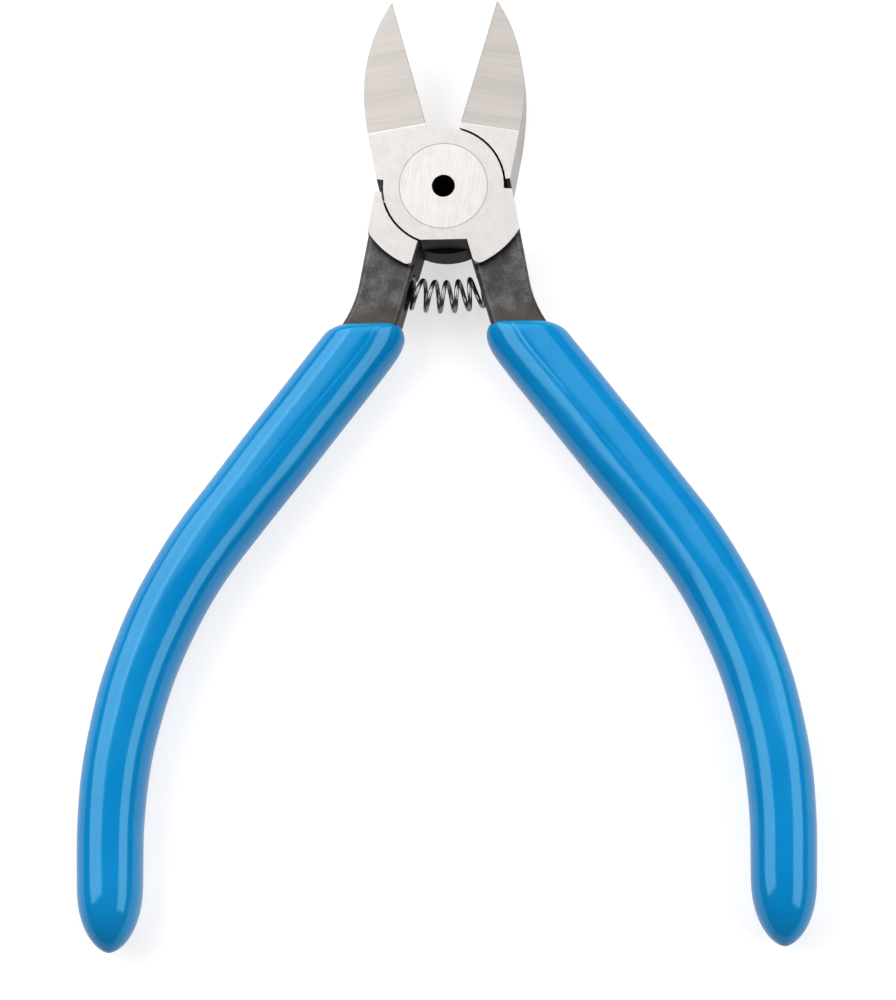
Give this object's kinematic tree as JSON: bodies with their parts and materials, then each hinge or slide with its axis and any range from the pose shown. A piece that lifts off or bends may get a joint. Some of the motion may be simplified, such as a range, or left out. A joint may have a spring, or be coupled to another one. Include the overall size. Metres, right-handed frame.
{
  "type": "flush cutter",
  "caption": "Small spring-opened flush cutter with pointed ground jaws, a riveted lap joint and bowed handles in dipped vinyl grips.",
  "frame": {"origin": "on the pivot axis, halfway through the joint where the two laps meet", "axes": "+Y towards the jaw tips along the centre line between the handles, +Z along the pivot axis out of the flush side, +X to the right"},
  "size_m": [0.0894, 0.119, 0.009],
  "materials": {
    "forged_steel": "ground bright on the joint and jaws, black oxide on the necks",
    "ground_steel": "ground bright with fine straight marks",
    "spring_wire": "oiled drawn wire, glossy",
    "dipped_vinyl": "thick glossy dipped vinyl, medium blue"
  },
  "bodies": {
    "left_jaw_body": {"left_jaw_lever": "forged_steel", "pivot_rivet": "ground_steel", "right_grip": "dipped_vinyl", "return_spring": "spring_wire"},
    "right_jaw_body": {"right_jaw_lever": "forged_steel", "left_grip": "dipped_vinyl"}
  },
  "joints": [
    {"name": "pivot", "type": "hinge", "parent": "left_jaw_body", "child": "right_jaw_body", "pos_m": [0, 0, 0], "axis": [0, 0, 1], "range_deg": [-8.5, 29.3], "stiffness_Nm_per_rad": 0.5, "deforming": ["return_spring"]}
  ]
}
